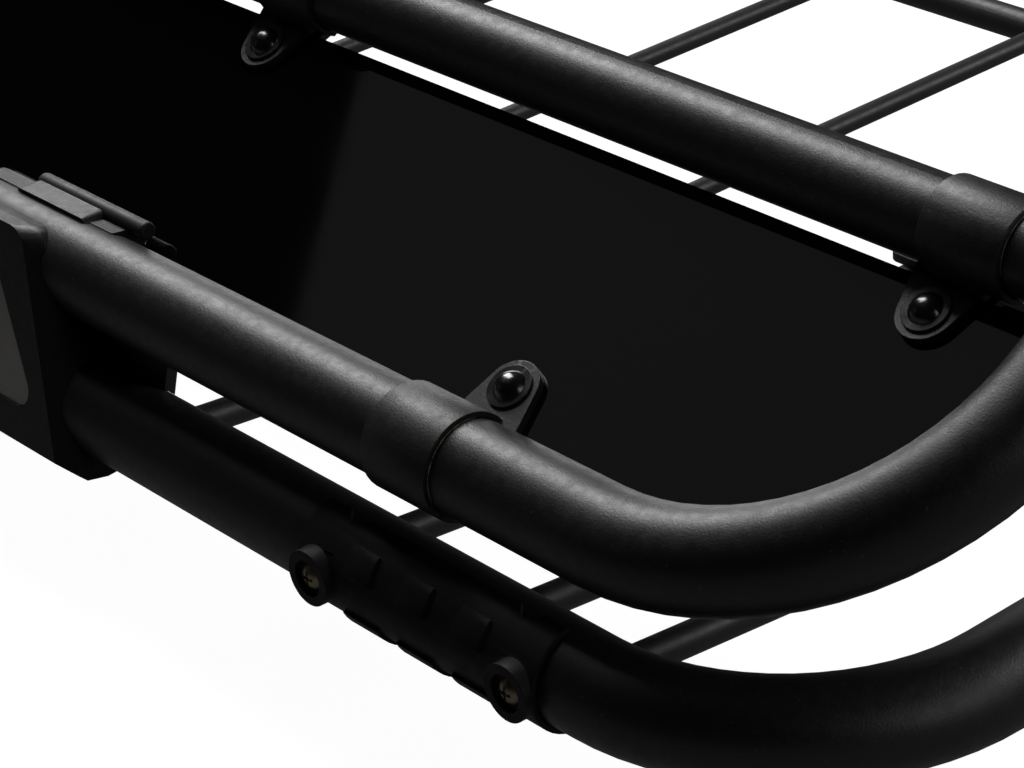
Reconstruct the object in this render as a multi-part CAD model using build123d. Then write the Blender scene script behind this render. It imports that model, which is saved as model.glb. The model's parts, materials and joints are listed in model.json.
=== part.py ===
"""Roof cargo basket for a vehicle: tubular rails, a rod floor, a wind fairing on the nose and crossbar clamps.

Frame: millimetres, +Z up, the nose of the basket towards -Y, X across the vehicle.
Origin: centre of the footprint, on the plane that the four clamp claws stand on.
"""
from build123d import *
from math import cos, hypot, radians, sin, tan
import os

os.makedirs("parts", exist_ok=True)

# ---- stock sizes -------------------------------------------------------------------------------
RAIL_D = 38.1            # main rails, 1-1/2 in tube
RAIL_WALL = 2.0
TOP_TUBE_D = 31.75       # tube across the top of the fairing, 1-1/4 in
POST_D = 19.05           # uprights between the two rails
CROSS_D = 15.875         # floor cross tubes
STRUT_D = 12.7           # short struts from the lower nose rail to the floor
ROD_D = 9.525            # floor rods
THIN_WALL = 1.6

# ---- plan and heights --------------------------------------------------------------------------
LENGTH = 1460.0          # nose face to rear face
FLOOR_Z = 71.0           # axis height of the lower rail and the floor rods
NOSE_RISE = 51.0         # upper nose rail axis above the lower one
NOSE_SETBACK = 14.5      # upper nose rail axis behind the lower one
FACE_PROUD = 27.5        # bracket face in front of the lower nose rail's axis
UPPER_HALF_X = 637.5     # upper side rail axis
LOWER_HALF_X = 623.5     # lower side rail axis
UPPER_BEND_R = 119.5
LOWER_BEND_R = 96.5
REAR_FLARE = 14.0        # upper rear rail stands behind the lower one
NOSE_TILT = 32.0         # slope of the fairing plane, degrees
KNEE_T = 194.0           # nose rail axis to the knee, along the slope
KNEE_R = 120.0
SPLICE_Y = 430.0         # rails are joined at plus and minus this
SPLICE_GAP = 0.5

LOWER_NOSE_Y = -LENGTH / 2 + FACE_PROUD
UPPER_NOSE_Y = LOWER_NOSE_Y + NOSE_SETBACK
UPPER_REAR_Y = LENGTH / 2 - RAIL_D / 2
LOWER_REAR_Y = UPPER_REAR_Y - REAR_FLARE
NOSE_Z = FLOOR_Z + NOSE_RISE
TILT_C = cos(radians(NOSE_TILT))
TILT_S = sin(radians(NOSE_TILT))
KNEE_Y = UPPER_NOSE_Y + KNEE_T * TILT_C
TOP_Z = NOSE_Z + KNEE_T * TILT_S

# ---- floor -------------------------------------------------------------------------------------
ROD_PITCH = 130.5
ROD_X = [ROD_PITCH * k for k in range(-4, 5)]
BRACE_X = 468.0          # extra struts near each corner
CROSS_Y = [-165.0, 205.0, 574.0]
FRONT_CROSS_Y = -573.0
FRONT_CROSS_DROP = 13.0  # front floor tube axis below the rods
FRONT_CROSS_HALF_X = 528.5
ROD_FRONT_OVERHANG = 12.0
HOLE_CLEARANCE = 0.2     # on the diameter, where a rod passes through a tube

# ---- posts -------------------------------------------------------------------------------------
SIDE_POST_Y = [-560.0, -340.0, 0.0, 340.0, 560.0]
REAR_POST_X = [-260.0, 260.0]

# ---- splices -----------------------------------------------------------------------------------
SLEEVE_LENGTH = 90.0
SLEEVE_FIT = 0.1
SLEEVE_WALL = 2.0
SPLICE_SCREW_D = 6.0
SPLICE_SCREW_HEAD_D = 10.5
SPLICE_SCREW_HEAD_H = 3.0
SPLICE_SCREW_LENGTH = 10.0
SPLICE_SCREW_OFFSET = 25.0

# ---- fairing -----------------------------------------------------------------------------------
PANEL_THICKNESS = 4.0
PANEL_N = -4.0           # middle of the sheet, along the normal of the fairing plane
PANEL_LOW_T = 19.8
PANEL_HIGH_T = 134.5
PANEL_HALF_X = 617.0
PANEL_LOW_CORNER_R = 98.5
PANEL_HIGH_CORNER_R = 6.0
TOP_TUBE_T = 151.3       # top tube axis along the slope
TOP_TUBE_N = 9.7         # and above the fairing plane
NOSE_BOLT_X = [440.5]     # right-hand clamps; the left-hand ones mirror them
TOP_BOLT_X = [202.3, 574.8]
NOSE_BOLT_T = 33.3
TOP_BOLT_T = 122.0
CLAMP_WIDTH = 36.0
CLAMP_WALL = 2.2
CLAMP_BORE_GAP = 0.1
EAR_SKEW = 11.0          # bolt to the middle of the clamp's shell, along the tube
EAR_ROOT_HALF_W = 17.5
EAR_THICKNESS = 3.4
EAR_TIP_R = 12.0
CLAMP_PART_GAP = 0.4
BOLT_D = 6.0
BOLT_HOLE_D = 6.4
BOLT_HEAD_D = 13.3
BOLT_HEAD_H = 4.2
WASHER_D = 18.6
WASHER_T = 1.1
NUT_AF = 10.0
NUT_H = 5.0

# ---- nameplate carrier on the nose -------------------------------------------------------------
CARRIER_LOW_Z = 58.0     # lower edge of its face, which touches the front of the basket
CARRIER_TOP_RISE = 20.6  # top of the carrier above the upper nose rail's axis
CARRIER_LOW_HALF_W = 228.0
CARRIER_TAPER = 0.47     # half width lost for each millimetre of height
CARRIER_CORNER_R = 12.0
CARRIER_BEVEL_DEPTH = 6.0
CARRIER_BEVEL_W = 8.0
CARRIER_TUBE_GAP = 0.15
PLATE_LOW_Z = 72.5
PLATE_HIGH_Z = 131.0
PLATE_LOW_HALF_W = 211.5
PLATE_HIGH_HALF_W = 168.0
PLATE_CORNER_R = 7.0
PLATE_POCKET = 2.4
PLATE_T = 1.6
PLATE_GAP = 0.2
STRAP_HALF_W = 258.0
HOOK_X = 168.0
HOOK_HALF_W = 50.0
HOOK_BAR = (50.0, 12.0, 10.0)
HOOK_BAR_SHIFT = 9.0     # bar centre outboard of the hook's centre
HOOK_BAR_Y = 10.0        # bar centre behind the upper nose rail's axis
HOOK_BAR_Z = 15.5        # and above it
HOOK_BAR_R = 3.5
HOOK_PIN_D = 8.0
HOOK_PIN_REACH = 26.0
HOOK_PIN_Y = 17.5
HOOK_PIN_Z = 18.0
STRAP_BOLT_DX = 38.0
STRAP_BOLT_HEAD_D = 10.0
STRAP_BOLT_HEAD_H = 6.0
STRAP_BOLT_LENGTH = 36.0
PANEL_NOTCH_T = 25.4     # the sheet's lower edge where it passes a hook
PANEL_NOTCH_HALF_W = 53.0

# ---- cover plates on the lower nose rail -------------------------------------------------------
COVER_X = [-450.5, 450.5]
COVER_HALF_L = 66.5
COVER_GAP = 0.25
COVER_T = 2.2
COVER_TOP_ANGLE = 84.0   # from straight ahead, upwards
COVER_LOW_ANGLE = -78.0
COVER_CORNER_ANGLE = 65.0
COVER_CORNER_CUT = 48.6  # along the tube plus round it, to the slanted corner
COVER_SCREW_DX = 56.0
COVER_SCREW_ANGLE = 1.0
COVER_BOSS_D = 22.5
COVER_BOSS_H = 3.2
COVER_CUP_D = 14.5
COVER_CUP_DEPTH = 2.4
COVER_SCREW_D = 5.0
COVER_HEAD_D = 11.0
COVER_HEAD_H = 2.6
COVER_PAD_DX = 31.0
COVER_PAD_PROUD = 1.5
COVER_PADS = ((20.0, 52.0, 15.0), (-78.0, -24.0, 20.0))  # low angle, high angle, width

# ---- crossbar clamps ---------------------------------------------------------------------------
MOUNT_X = 3.5 * ROD_PITCH
MOUNT_Y = 330.0
SADDLE_HALF_X = 77.0
SADDLE_HALF_Y = 75.0
SADDLE_T = 18.0
SADDLE_BAR_W = 32.0
SADDLE_SPINE_W = 44.0
STUD_DY = 58.0
STUD_D = 8.0
STUD_HOLE_D = 8.6
CLAW_W = 40.0
CLAW_T = 14.0
CLAW_LEG_W = 30.0
CLAW_LEG_GAP = 4.0       # left to tighten
PAD_T = 3.0
PAD_HALF_Y = 42.0
GRIP_PLATE_W = 30.0
GRIP_PLATE_T = 4.0
KNOB_D = 44.0
KNOB_H = 20.0
KNOB_LOBES = 6
KNOB_LOBE_CUT_D = 14.0
KNOB_LIFT = 0.4          # knob face above its washer
STUD_HEAD_D = 15.0
STUD_HEAD_H = 5.0
MOUNT_WASHER_D = 20.0
MOUNT_WASHER_T = 1.6
MOUNT_NUT_AF = 13.0
MOUNT_NUT_H = 8.0


# ---- shape helpers -----------------------------------------------------------------------------
def rod_along(path, diameter):
    """A solid round bar of one diameter along a path."""
    start = Plane(origin=path @ 0, z_dir=path % 0)
    return sweep(start * Circle(diameter / 2), path=path)


def pipe_along(path, diameter, wall):
    """A tube along a path."""
    start = Plane(origin=path @ 0, z_dir=path % 0)
    return sweep(start * (Circle(diameter / 2) - Circle(diameter / 2 - wall)), path=path)


def straight_rod(start, end, diameter):
    return rod_along(Line(start, end), diameter)


def straight_pipe(start, end, diameter, wall):
    return pipe_along(Line(start, end), diameter, wall)


def hex_prism(across_flats, height):
    return extrude(RegularPolygon(across_flats / 2, 6, major_radius=False), height)


def dome_head(diameter, height):
    """A shallow dome standing on the XY plane."""
    radius = (diameter ** 2 / 4 + height ** 2) / (2 * height)
    ball = Pos(0, 0, height - radius) * Sphere(radius)
    return ball & (Pos(0, 0, height) * Cylinder(diameter, 2 * height))


def solids_of(*shapes):
    found = []
    for shape in shapes:
        found.extend(shape.solids())
    return found


def save(name, *shapes):
    """Write one node; several solids stay separate in it."""
    found = solids_of(*shapes)
    whole = found[0] if len(found) == 1 else Compound(children=found)
    whole.label = name
    export_step(whole, f"parts/{name}.step")


def mirrored(shape):
    return mirror(shape, about=Plane.YZ)


def fairing_place(x, t, n):
    """Location on the fairing plane: local X across, local Y up the slope, local Z its normal."""
    y = UPPER_NOSE_Y + t * TILT_C - n * TILT_S
    z = NOSE_Z + t * TILT_S + n * TILT_C
    return Location((x, y, z), (NOSE_TILT, 0, 0))


# ---- rails -------------------------------------------------------------------------------------
def lower_path(y_from, y_end):
    """Half of the lower rail: from one splice round the nose or the rear to the other splice."""
    corners = [
        (-LOWER_HALF_X, y_from, FLOOR_Z),
        (-LOWER_HALF_X, y_end, FLOOR_Z),
        (LOWER_HALF_X, y_end, FLOOR_Z),
        (LOWER_HALF_X, y_from, FLOOR_Z),
    ]
    return FilletPolyline(*corners, radius=LOWER_BEND_R)


def upper_rear_path():
    corners = [
        (-UPPER_HALF_X, SPLICE_Y, TOP_Z),
        (-UPPER_HALF_X, UPPER_REAR_Y, TOP_Z),
        (UPPER_HALF_X, UPPER_REAR_Y, TOP_Z),
        (UPPER_HALF_X, SPLICE_Y, TOP_Z),
    ]
    return FilletPolyline(*corners, radius=UPPER_BEND_R)


def nose_hoop_path():
    corners = [
        (-UPPER_HALF_X, -SPLICE_Y, TOP_Z),
        (-UPPER_HALF_X, KNEE_Y, TOP_Z),
        (-UPPER_HALF_X, UPPER_NOSE_Y, NOSE_Z),
        (UPPER_HALF_X, UPPER_NOSE_Y, NOSE_Z),
        (UPPER_HALF_X, KNEE_Y, TOP_Z),
        (UPPER_HALF_X, -SPLICE_Y, TOP_Z),
    ]
    return FilletPolyline(*corners, radius=[KNEE_R, UPPER_BEND_R, UPPER_BEND_R, KNEE_R])


lower_nose_path = lower_path(-SPLICE_Y, LOWER_NOSE_Y)
lower_rear_path = lower_path(SPLICE_Y, LOWER_REAR_Y)
hoop_path = nose_hoop_path()
rear_path = upper_rear_path()

lower_nose_bar = rod_along(lower_nose_path, RAIL_D)
lower_rear_bar = rod_along(lower_rear_path, RAIL_D)
hoop_bar = rod_along(hoop_path, RAIL_D)
rear_bar = rod_along(rear_path, RAIL_D)
side_span = SPLICE_Y - SPLICE_GAP
lower_side_bar = straight_rod((LOWER_HALF_X, -side_span, FLOOR_Z), (LOWER_HALF_X, side_span, FLOOR_Z), RAIL_D)
upper_side_bar = straight_rod((UPPER_HALF_X, -side_span, TOP_Z), (UPPER_HALF_X, side_span, TOP_Z), RAIL_D)


def side_rail(half_x, z):
    return straight_pipe((half_x, -side_span, z), (half_x, side_span, z), RAIL_D, RAIL_WALL)


# ---- splices: inner sleeve and two screws at each joint ----------------------------------------
def splice_screw():
    """Button-head screw pointing along +X, its head's underside at the origin."""
    head = dome_head(SPLICE_SCREW_HEAD_D, SPLICE_SCREW_HEAD_H)
    shank = Pos(0, 0, -SPLICE_SCREW_LENGTH / 2) * Cylinder(SPLICE_SCREW_D / 2, SPLICE_SCREW_LENGTH)
    return Rot(0, 90, 0) * (head + shank)


splice_sleeves = []
splice_screws = []
splice_holes = []
for half_x, z in ((LOWER_HALF_X, FLOOR_Z), (UPPER_HALF_X, TOP_Z)):
    sleeve_d = RAIL_D - 2 * RAIL_WALL - SLEEVE_FIT
    for y in (-SPLICE_Y, SPLICE_Y):
        sleeve = straight_pipe(
            (half_x, y - SLEEVE_LENGTH / 2, z), (half_x, y + SLEEVE_LENGTH / 2, z), sleeve_d, SLEEVE_WALL
        )
        for dy in (-SPLICE_SCREW_OFFSET, SPLICE_SCREW_OFFSET):
            hole = Pos(half_x + RAIL_D / 4, y + dy, z) * Rot(0, 90, 0)
            drill = hole * Cylinder((SPLICE_SCREW_D + HOLE_CLEARANCE) / 2, RAIL_D / 2)
            sleeve = sleeve - drill
            splice_holes += [drill, mirrored(drill)]
            screw = Pos(half_x + RAIL_D / 2 + 0.2, y + dy, z) * splice_screw()
            splice_screws += [screw, mirrored(screw)]
        splice_sleeves += [sleeve, mirrored(sleeve)]

# ---- floor -------------------------------------------------------------------------------------
front_cross_z = FLOOR_Z - FRONT_CROSS_DROP
front_cross_start = (-FRONT_CROSS_HALF_X, FRONT_CROSS_Y, front_cross_z)
front_cross_end = (FRONT_CROSS_HALF_X, FRONT_CROSS_Y, front_cross_z)
front_cross_bar = straight_rod(front_cross_start, front_cross_end, CROSS_D)
front_cross_tube = straight_pipe(front_cross_start, front_cross_end, CROSS_D, THIN_WALL)
rods = []
rod_drills = []
for x in ROD_X:
    rod_start = (x, FRONT_CROSS_Y - ROD_FRONT_OVERHANG, FLOOR_Z)
    rod_end = (x, LOWER_REAR_Y, FLOOR_Z)
    rods.append(straight_rod(rod_start, rod_end, ROD_D) - lower_rear_bar)
    rod_drills.append(straight_rod(rod_start, rod_end, ROD_D + HOLE_CLEARANCE))

cross_tubes = []
for y in CROSS_Y:
    tube = straight_pipe((-LOWER_HALF_X, y, FLOOR_Z), (LOWER_HALF_X, y, FLOOR_Z), CROSS_D, THIN_WALL)
    rail = lower_rear_bar if y > SPLICE_Y else lower_side_bar + mirrored(lower_side_bar)
    tube = tube - rail
    for drill in rod_drills:
        tube = tube - drill
    cross_tubes.append(tube)

struts = []
strut_drills = []
for x in ROD_X + [-BRACE_X, BRACE_X]:
    strut_start = (x, LOWER_NOSE_Y, FLOOR_Z)
    strut_end = (x, FRONT_CROSS_Y, front_cross_z)
    struts.append(straight_rod(strut_start, strut_end, STRUT_D) - lower_nose_bar - front_cross_bar)
    strut_drills.append(straight_rod(strut_start, strut_end, STRUT_D + 1.0))


# ---- posts between the rails -------------------------------------------------------------------
def upper_rail_z(y):
    """Height of the upper side rail's axis at a station along the side."""
    if y < KNEE_Y:
        return NOSE_Z + (y - UPPER_NOSE_Y) * tan(radians(NOSE_TILT))
    return TOP_Z


def post(foot, head, rails):
    tube = straight_pipe(foot, head, POST_D, THIN_WALL)
    for rail in rails:
        tube = tube - rail
    return max(tube.solids(), key=lambda solid: solid.volume)


side_posts = []
for y in SIDE_POST_Y:
    lower_bar = lower_side_bar
    upper_bar = upper_side_bar
    if y < -SPLICE_Y:
        lower_bar = lower_nose_bar
        upper_bar = hoop_bar
    if y > SPLICE_Y:
        lower_bar = lower_rear_bar
        upper_bar = rear_bar
    upright = post((LOWER_HALF_X, y, FLOOR_Z), (UPPER_HALF_X, y, upper_rail_z(y)), [lower_bar, upper_bar])
    side_posts += [upright, mirrored(upright)]

rear_posts = []
for x in REAR_POST_X:
    rear_posts.append(post((x, LOWER_REAR_Y, FLOOR_Z), (x, UPPER_REAR_Y, TOP_Z), [lower_rear_bar, rear_bar]))

# ---- top tube of the fairing -------------------------------------------------------------------
top_centre = fairing_place(0, TOP_TUBE_T, TOP_TUBE_N).position
top_tube = straight_pipe(
    (-UPPER_HALF_X, top_centre.Y, top_centre.Z), (UPPER_HALF_X, top_centre.Y, top_centre.Z), TOP_TUBE_D, THIN_WALL
)
top_tube = max((top_tube - hoop_bar).solids(), key=lambda solid: solid.volume)


# ---- fairing panel and its clamps --------------------------------------------------------------
right_bolts = [(x, NOSE_BOLT_T) for x in NOSE_BOLT_X] + [(x, TOP_BOLT_T) for x in TOP_BOLT_X]
bolt_places = right_bolts + [(-x, t) for x, t in right_bolts]


def fairing_panel():
    low = PANEL_LOW_T
    high = PANEL_HIGH_T
    outline = FilletPolyline(
        (-PANEL_HALF_X, high),
        (-PANEL_HALF_X, low),
        (PANEL_HALF_X, low),
        (PANEL_HALF_X, high),
        close=True,
        radius=[PANEL_HIGH_CORNER_R, PANEL_LOW_CORNER_R, PANEL_LOW_CORNER_R, PANEL_HIGH_CORNER_R],
    )
    sheet = extrude(make_face(outline), PANEL_THICKNESS)
    hole = Cylinder(BOLT_HOLE_D / 2, 4 * PANEL_THICKNESS)
    for x, t in bolt_places:
        sheet = sheet - Pos(x, t, 0) * hole
    for x in (-HOOK_X, HOOK_X):
        sheet = sheet - Pos(x, 0, 0) * Box(2 * PANEL_NOTCH_HALF_W, 2 * PANEL_NOTCH_T, 4 * PANEL_THICKNESS)
    return fairing_place(0, 0, PANEL_N - PANEL_THICKNESS / 2) * sheet


def clamp_half(tube_d, bolt_reach, plane_offset, upper):
    """Half of a two-piece tube clamp, tube axis along X through the middle of its shell, ear towards +Y.

    The bolt stands EAR_SKEW to the +X side of the shell's middle; plane_offset is the height of the
    panel's middle above the tube's axis.
    """
    outer_r = tube_d / 2 + CLAMP_WALL
    bore_r = tube_d / 2 + CLAMP_BORE_GAP
    across = Rot(0, 90, 0)
    shell = across * Cylinder(outer_r, CLAMP_WIDTH)
    ear_outline = make_hull(
        [
            Line((EAR_SKEW - EAR_ROOT_HALF_W, outer_r * 0.6), (EAR_SKEW + EAR_ROOT_HALF_W, outer_r * 0.6)),
            CenterArc((EAR_SKEW, bolt_reach), EAR_TIP_R, 0, 360),
        ]
    )
    side = 1 if upper else -1
    ear_low = plane_offset + side * PANEL_THICKNESS / 2
    ear = extrude(Pos(0, 0, ear_low) * ear_outline, side * EAR_THICKNESS)
    body = shell + ear
    part_z = plane_offset + side * CLAMP_PART_GAP / 2
    keep = Pos(0, 0, part_z + side * tube_d) * Box(4 * tube_d, 4 * tube_d, 2 * tube_d)
    body = body & keep
    sheet_gap = Pos(0, tube_d, plane_offset) * Box(4 * tube_d, 2 * tube_d, PANEL_THICKNESS)
    body = body - sheet_gap
    body = body - across * Cylinder(bore_r, 4 * CLAMP_WIDTH)
    body = body - Pos(EAR_SKEW, bolt_reach, plane_offset) * Cylinder(BOLT_HOLE_D / 2, 2 * tube_d)
    return max(body.solids(), key=lambda solid: solid.volume)


nose_reach = NOSE_BOLT_T
top_reach = TOP_TUBE_T - TOP_BOLT_T
nose_upper = clamp_half(RAIL_D, nose_reach, PANEL_N, True)
nose_lower = clamp_half(RAIL_D, nose_reach, PANEL_N, False)
top_upper = clamp_half(TOP_TUBE_D, top_reach, PANEL_N - TOP_TUBE_N, True)
top_lower = clamp_half(TOP_TUBE_D, top_reach, PANEL_N - TOP_TUBE_N, False)
turn_round = Rot(0, 0, 180)


def both_sides(shapes):
    return [*shapes, *[mirrored(shape) for shape in shapes]]


nose_places = [fairing_place(x - EAR_SKEW, 0, 0) for x in NOSE_BOLT_X]
top_places = [fairing_place(x + EAR_SKEW, TOP_TUBE_T, TOP_TUBE_N) * turn_round for x in TOP_BOLT_X]

clamp_top_n = PANEL_N + PANEL_THICKNESS / 2 + EAR_THICKNESS
clamp_low_n = PANEL_N - PANEL_THICKNESS / 2 - EAR_THICKNESS
dome_bolt = dome_head(BOLT_HEAD_D, BOLT_HEAD_H) + Pos(0, 0, -12) * Cylinder(BOLT_D / 2, 24)
ring = Cylinder(WASHER_D / 2, WASHER_T) - Cylinder(BOLT_HOLE_D / 2, 2 * WASHER_T)
clamp_washer = Pos(0, 0, WASHER_T / 2) * ring
clamp_nut = Pos(0, 0, -NUT_H) * hex_prism(NUT_AF, NUT_H) - Cylinder(BOLT_D / 2, 4 * NUT_H)

fairing_bolts = [fairing_place(x, t, clamp_top_n + WASHER_T) * dome_bolt for x, t in bolt_places]
fairing_washers = [fairing_place(x, t, clamp_top_n) * clamp_washer for x, t in bolt_places]
fairing_nuts = [fairing_place(x, t, clamp_low_n) * clamp_nut for x, t in bolt_places]


# ---- nameplate carrier -------------------------------------------------------------------------
def side_profile(points, half_width, x):
    """Extrude an outline drawn in (Y, Z) from the upper nose rail's axis, centred on x."""
    world = [(UPPER_NOSE_Y + y, NOSE_Z + z) for y, z in points]
    face = make_face(Polyline(*world, close=True))
    return Pos(x - half_width, 0, 0) * extrude(Plane.YZ * face, 2 * half_width)


lean_length = hypot(NOSE_SETBACK, NOSE_RISE)
lean_c = NOSE_RISE / lean_length
lean_s = NOSE_SETBACK / lean_length
carrier_plane = Plane(
    origin=(0, -LENGTH / 2, CARRIER_LOW_Z), x_dir=(1, 0, 0), z_dir=(0, -lean_c, lean_s)
)
front_outline = [
    (-70.0, CARRIER_TOP_RISE),
    (-18.0, CARRIER_TOP_RISE),
    (-4.5, CARRIER_TOP_RISE - 0.4),
    (-4.5, -5.0),
    (0.3, -19.0),
    (-12.7, -63.0),
    (-14.6, -66.0),
    (-14.6, -73.7),
    (-24.0, -73.7),
    (-34.0, -71.5),
    (-42.0, -64.0),
    (-70.0, -64.0),
]
hook_outline = [
    (6.5, 18.4),
    (13.0, 17.5),
    (21.3, 12.0),
    (22.0, -6.0),
    (13.0, -27.0),
    (9.0, -58.0),
    (0.0, -71.0),
    (-14.2, -76.0),
    (-14.2, -66.0),
    (-12.4, -63.0),
    (0.6, -19.0),
    (0.6, -5.0),
]
web_outline = [(0.6, -19.0), (-12.4, -63.0), (-6.4, -63.0), (6.0, -19.0)]
nose_drill = straight_rod(
    (-UPPER_HALF_X / 2, UPPER_NOSE_Y, NOSE_Z), (UPPER_HALF_X / 2, UPPER_NOSE_Y, NOSE_Z), RAIL_D + 2 * CARRIER_TUBE_GAP
)
low_drill = straight_rod(
    (-LOWER_HALF_X / 2, LOWER_NOSE_Y, FLOOR_Z),
    (LOWER_HALF_X / 2, LOWER_NOSE_Y, FLOOR_Z),
    RAIL_D + 2 * CARRIER_TUBE_GAP,
)
strap_bolt_x = [side * HOOK_X + dx for side in (-1, 1) for dx in (-STRAP_BOLT_DX, STRAP_BOLT_DX)]


def up_face(z):
    """Distance up the leaning face at a height."""
    return (z - CARRIER_LOW_Z) / lean_c


def trapezoid(low_z, high_z, low_half, high_half, low_r, high_r):
    """Face on the carrier's leaning plane; radii at its lower and upper corners."""
    low = up_face(low_z)
    high = up_face(high_z)
    corners = [(-low_half, low), (low_half, low), (high_half, high), (-high_half, high)]
    outline = FilletPolyline(*corners, close=True, radius=[low_r, low_r, high_r, high_r])
    return make_face(outline)


def strap_bolt_place(x):
    """Middle of the gap between the two nose rails."""
    return Pos(x, UPPER_NOSE_Y - NOSE_SETBACK / 2, NOSE_Z - NOSE_RISE / 2) * Rot(90, 0, 0)


def carrier_outline(spread):
    low_z = CARRIER_LOW_Z - 14.0
    high_z = NOSE_Z + CARRIER_TOP_RISE - 0.6 + spread / 8
    low_half = CARRIER_LOW_HALF_W + CARRIER_TAPER * 14.0 + spread
    high_half = low_half - CARRIER_TAPER * (high_z - low_z)
    return trapezoid(low_z, high_z, low_half, high_half, 3.0, CARRIER_CORNER_R)


def nameplate_carrier():
    back_plane = carrier_plane.offset(-CARRIER_BEVEL_DEPTH)
    rear = back_plane * carrier_outline(CARRIER_BEVEL_W)
    body = loft([carrier_plane * carrier_outline(0.0), rear]) + extrude(rear, -40.0)
    body = body & side_profile(front_outline, STRAP_HALF_W, 0)
    pocket = trapezoid(
        PLATE_LOW_Z, PLATE_HIGH_Z, PLATE_LOW_HALF_W, PLATE_HIGH_HALF_W, PLATE_CORNER_R, PLATE_CORNER_R
    )
    body = body - carrier_plane * extrude(pocket, PLATE_POCKET, both=True)
    body = body - nose_drill - low_drill
    for x in strap_bolt_x:
        body = body - strap_bolt_place(x) * Cylinder((BOLT_D + HOLE_CLEARANCE) / 2, STRAP_BOLT_LENGTH)
    return max(body.solids(), key=lambda solid: solid.volume)


def nameplate():
    sheet = trapezoid(
        PLATE_LOW_Z + PLATE_GAP,
        PLATE_HIGH_Z - PLATE_GAP,
        PLATE_LOW_HALF_W - PLATE_GAP,
        PLATE_HIGH_HALF_W - PLATE_GAP,
        PLATE_CORNER_R,
        PLATE_CORNER_R,
    )
    return carrier_plane * Pos(0, 0, -PLATE_POCKET) * extrude(sheet, PLATE_T)


def hook(x):
    """Jaw behind the rails with a bar along its top."""
    outboard = 1 if x > 0 else -1
    bar = Pos(x + outboard * HOOK_BAR_SHIFT, UPPER_NOSE_Y + HOOK_BAR_Y, NOSE_Z + HOOK_BAR_Z) * Box(*HOOK_BAR)
    bar = fillet(bar.edges().filter_by(Axis.Y), HOOK_BAR_R)
    return side_profile(hook_outline, HOOK_HALF_W, x) + bar


def nameplate_strap():
    body = side_profile(web_outline, STRAP_HALF_W, 0) + hook(HOOK_X) + hook(-HOOK_X)
    body = body - nose_drill - low_drill
    pin_axis = Pos(0, UPPER_NOSE_Y + HOOK_PIN_Y, NOSE_Z + HOOK_PIN_Z) * Rot(0, 90, 0)
    body = body - pin_axis * Cylinder((HOOK_PIN_D + HOLE_CLEARANCE) / 2, 4 * STRAP_HALF_W)
    for strut in strut_drills:
        body = body - strut
    for x in strap_bolt_x:
        place = strap_bolt_place(x)
        body = body - place * Cylinder((BOLT_D + HOLE_CLEARANCE) / 2, 2 * STRAP_BOLT_LENGTH)
        head_room = Pos(0, 0, -STRAP_BOLT_LENGTH) * Cylinder(STRAP_BOLT_HEAD_D / 2 + 0.5, STRAP_BOLT_LENGTH)
        body = body - place * head_room
    return max(body.solids(), key=lambda solid: solid.volume)


def strap_pin(x):
    """Round pin behind a hook's bar that stands out past its outboard end."""
    length = HOOK_BAR[0] + HOOK_PIN_REACH
    pin = Cylinder(HOOK_PIN_D / 2, length)
    pin = fillet(pin.edges().filter_by(GeomType.CIRCLE), 1.5)
    middle = x + HOOK_BAR_SHIFT + HOOK_PIN_REACH / 2
    return Pos(middle, UPPER_NOSE_Y + HOOK_PIN_Y, NOSE_Z + HOOK_PIN_Z) * Rot(0, 90, 0) * pin


def strap_bolt(x):
    """Cap screw from behind, between the rails."""
    head_z = -(STRAP_BOLT_LENGTH + STRAP_BOLT_HEAD_H) / 2
    head = Pos(0, 0, head_z) * Cylinder(STRAP_BOLT_HEAD_D / 2, STRAP_BOLT_HEAD_H)
    shank = Cylinder(BOLT_D / 2, STRAP_BOLT_LENGTH)
    return strap_bolt_place(x) * (head + shank)


# ---- cover plates ------------------------------------------------------------------------------
def sector(inner_r, outer_r, low_angle, high_angle, x_low, x_high):
    """Part of a tube wall round the lower nose rail; angles go up from straight ahead."""
    wall = Circle(outer_r) - Circle(inner_r)
    reach = 3 * outer_r
    rays = [(-reach * cos(radians(a)), reach * sin(radians(a))) for a in (low_angle, high_angle)]
    mid = (low_angle + high_angle) / 2
    tip = (-2 * reach * cos(radians(mid)), 2 * reach * sin(radians(mid)))
    wedge = make_face(Polyline((0, 0), rays[0], tip, rays[1], close=True))
    profile = Plane.YZ * (wall & wedge)
    solid = extrude(profile, x_high - x_low)
    return Pos(x_low, LOWER_NOSE_Y, FLOOR_Z) * solid


def radial_place(x, angle):
    """On the lower nose rail's axis, local Z pointing outwards at an angle up from straight ahead."""
    return Pos(x, LOWER_NOSE_Y, FLOOR_Z) * Rot(90 - angle, 0, 0)


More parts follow.
